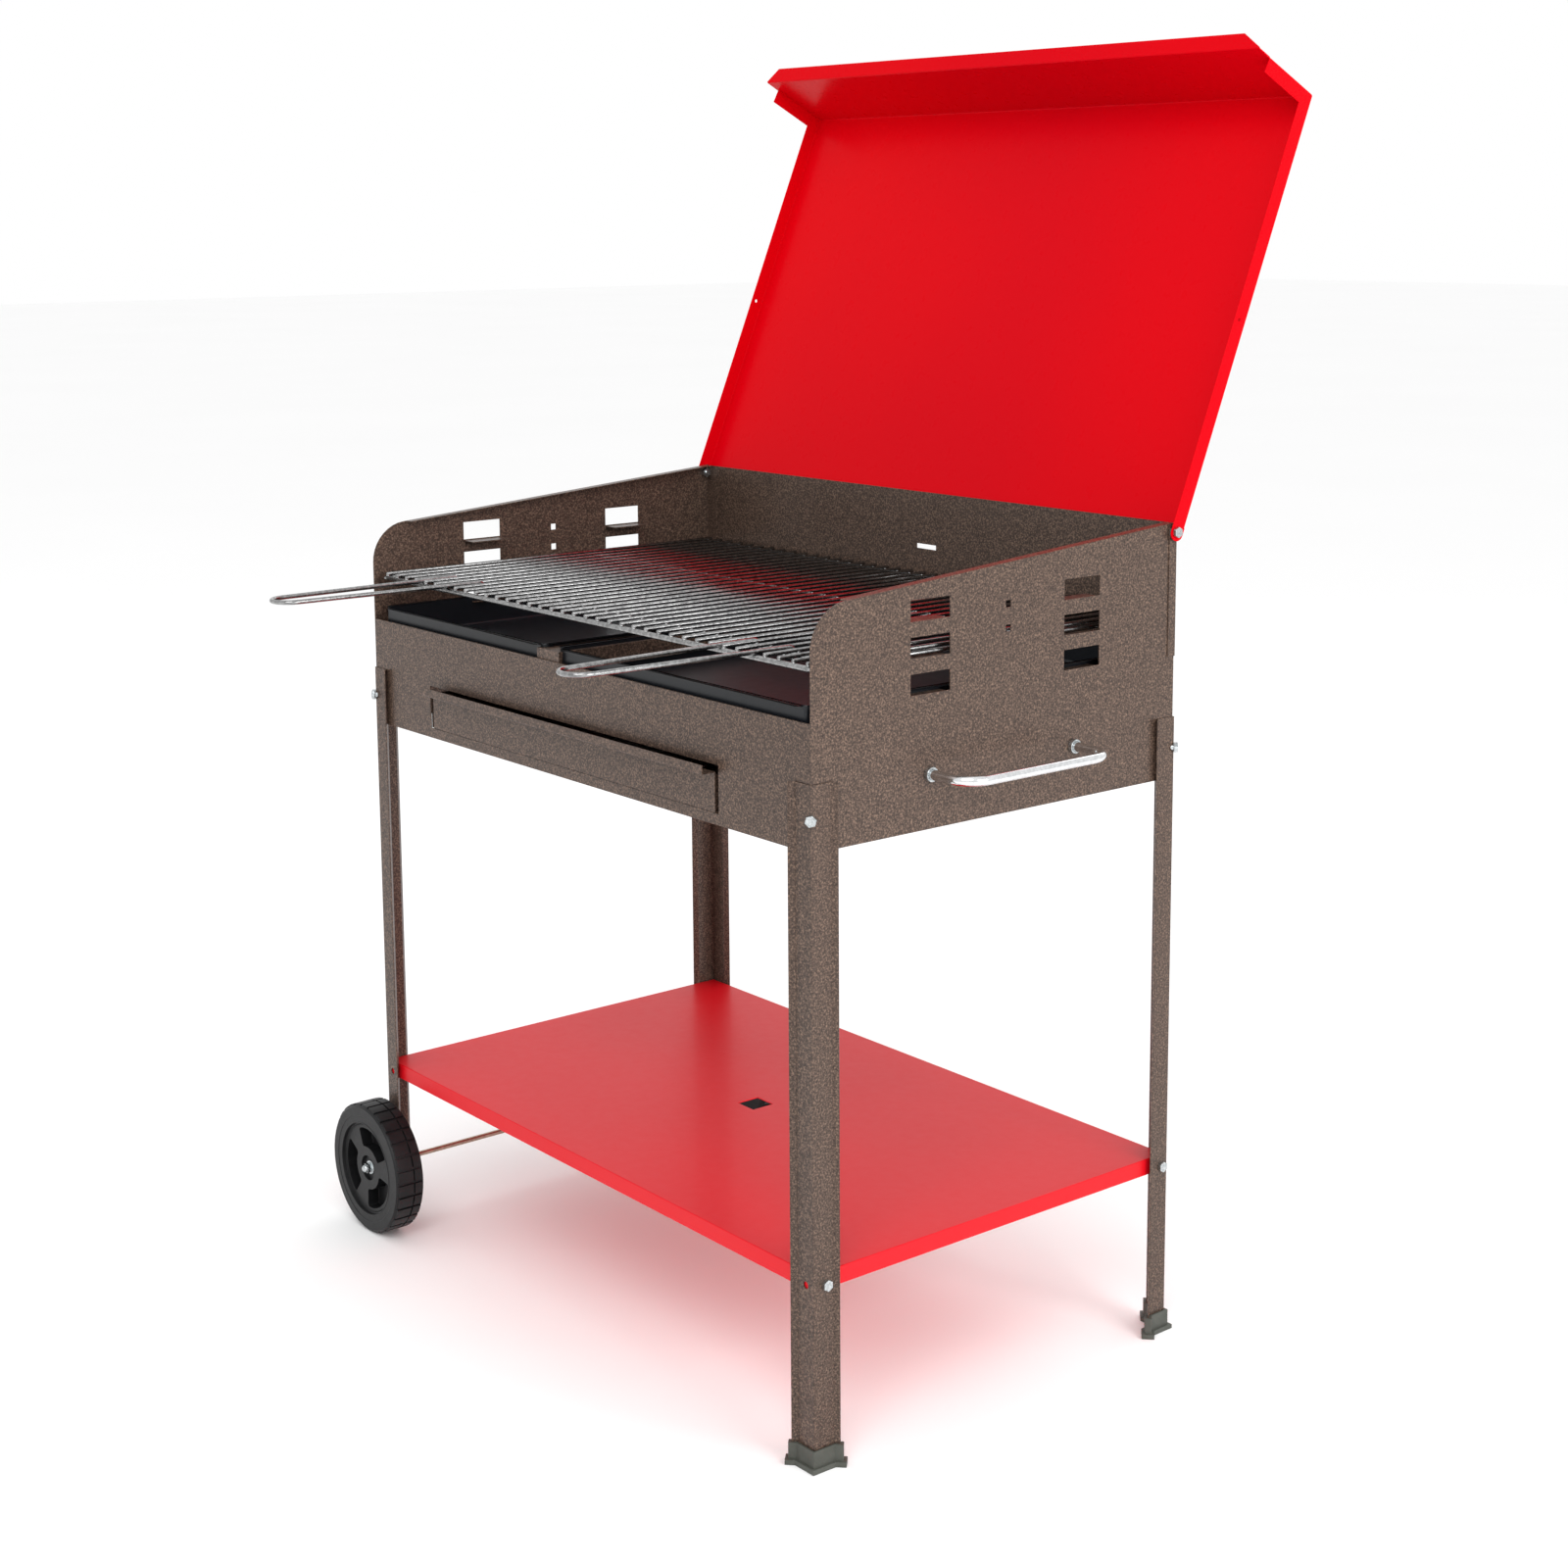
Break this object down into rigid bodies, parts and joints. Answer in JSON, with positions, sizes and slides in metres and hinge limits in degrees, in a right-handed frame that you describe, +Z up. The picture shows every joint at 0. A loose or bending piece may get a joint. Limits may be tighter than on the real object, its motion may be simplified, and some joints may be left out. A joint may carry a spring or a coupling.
{
  "type": "trolley charcoal grill",
  "caption": "Rectangular sheet-steel charcoal grill on tall angle legs with a hinged lid, wire grate, ash drawer, bottom shelf and two wheels.",
  "frame": {"origin": "on the floor, under the middle of the overall box", "axes": "+X along the front towards the side handle, +Y to the back, +Z up"},
  "size_m": [0.89, 0.8474, 1.3322],
  "materials": {
    "bronze_enamel": "hammered semi-gloss enamel",
    "red_enamel": "gloss enamel",
    "black_enamel": "vitreous enamel",
    "chrome": "polished",
    "zinc": "bright zinc",
    "black_plastic": "matte",
    "grey_plastic": "matte"
  },
  "bodies": {
    "stand": {"side_panel_left": "bronze_enamel", "side_panel_right": "bronze_enamel", "front_panel": "bronze_enamel", "back_panel": "bronze_enamel", "rear_wind_guard": "bronze_enamel", "pan_support_bar": "bronze_enamel", "drawer_runner_left": "bronze_enamel", "drawer_runner_right": "bronze_enamel", "leg_front_left": "bronze_enamel", "leg_front_right": "bronze_enamel", "leg_rear_left": "bronze_enamel", "leg_rear_right": "bronze_enamel", "foot_front_right": "grey_plastic", "foot_rear_right": "grey_plastic", "bottom_shelf": "red_enamel", "wheel_axle": "zinc", "axle_spacers": "zinc", "wheel_washers": "zinc", "axle_cap_nuts": "zinc", "side_handle": "chrome", "handle_nuts": "zinc", "corner_bolts": "zinc", "corner_nuts": "zinc", "shelf_bolts": "zinc", "shelf_nuts": "zinc", "hinge_bolts": "zinc", "hinge_spacers": "zinc", "hinge_nuts": "zinc"},
    "lid": {"lid_shell": "red_enamel"},
    "ash_drawer": {"ash_drawer_front": "bronze_enamel", "ash_drawer_tray": "bronze_enamel"},
    "front_wheel": {"wheel_front": "black_plastic"},
    "rear_wheel": {"wheel_rear": "black_plastic"},
    "grate": {"grate_frame": "chrome", "grate_wires": "chrome", "grate_handle_left": "chrome", "grate_handle_right": "chrome"},
    "left_pan": {"charcoal_pan_left": "black_enamel"},
    "right_pan": {"charcoal_pan_right": "black_enamel"}
  },
  "joints": [
    {"name": "lid_hinge", "type": "hinge", "parent": "stand", "child": "lid", "pos_m": [0, 0.2305, 0.842], "axis": [1, 0, 0], "range_deg": [0, 111]},
    {"name": "drawer_slide", "type": "slide", "parent": "stand", "child": "ash_drawer", "axis": [0, -1, 0], "range_m": [0, 0.38]},
    {"name": "front_wheel_spin", "type": "hinge", "parent": "stand", "child": "front_wheel", "pos_m": [-0.37, -0.264, 0.075], "axis": [0, 1, 0], "continuous": true},
    {"name": "rear_wheel_spin", "type": "hinge", "parent": "stand", "child": "rear_wheel", "pos_m": [-0.37, 0.264, 0.075], "axis": [0, 1, 0], "continuous": true},
    {"name": "grate_slide", "type": "slide", "parent": "stand", "child": "grate", "axis": [0, -1, 0], "range_m": [0, 0.34]},
    {"name": "left_pan_lift", "type": "slide", "parent": "stand", "child": "left_pan", "axis": [0, 0, 1], "range_m": [0, 0.023]},
    {"name": "right_pan_lift", "type": "slide", "parent": "stand", "child": "right_pan", "axis": [0, 0, 1], "range_m": [0, 0.023]}
  ]
}
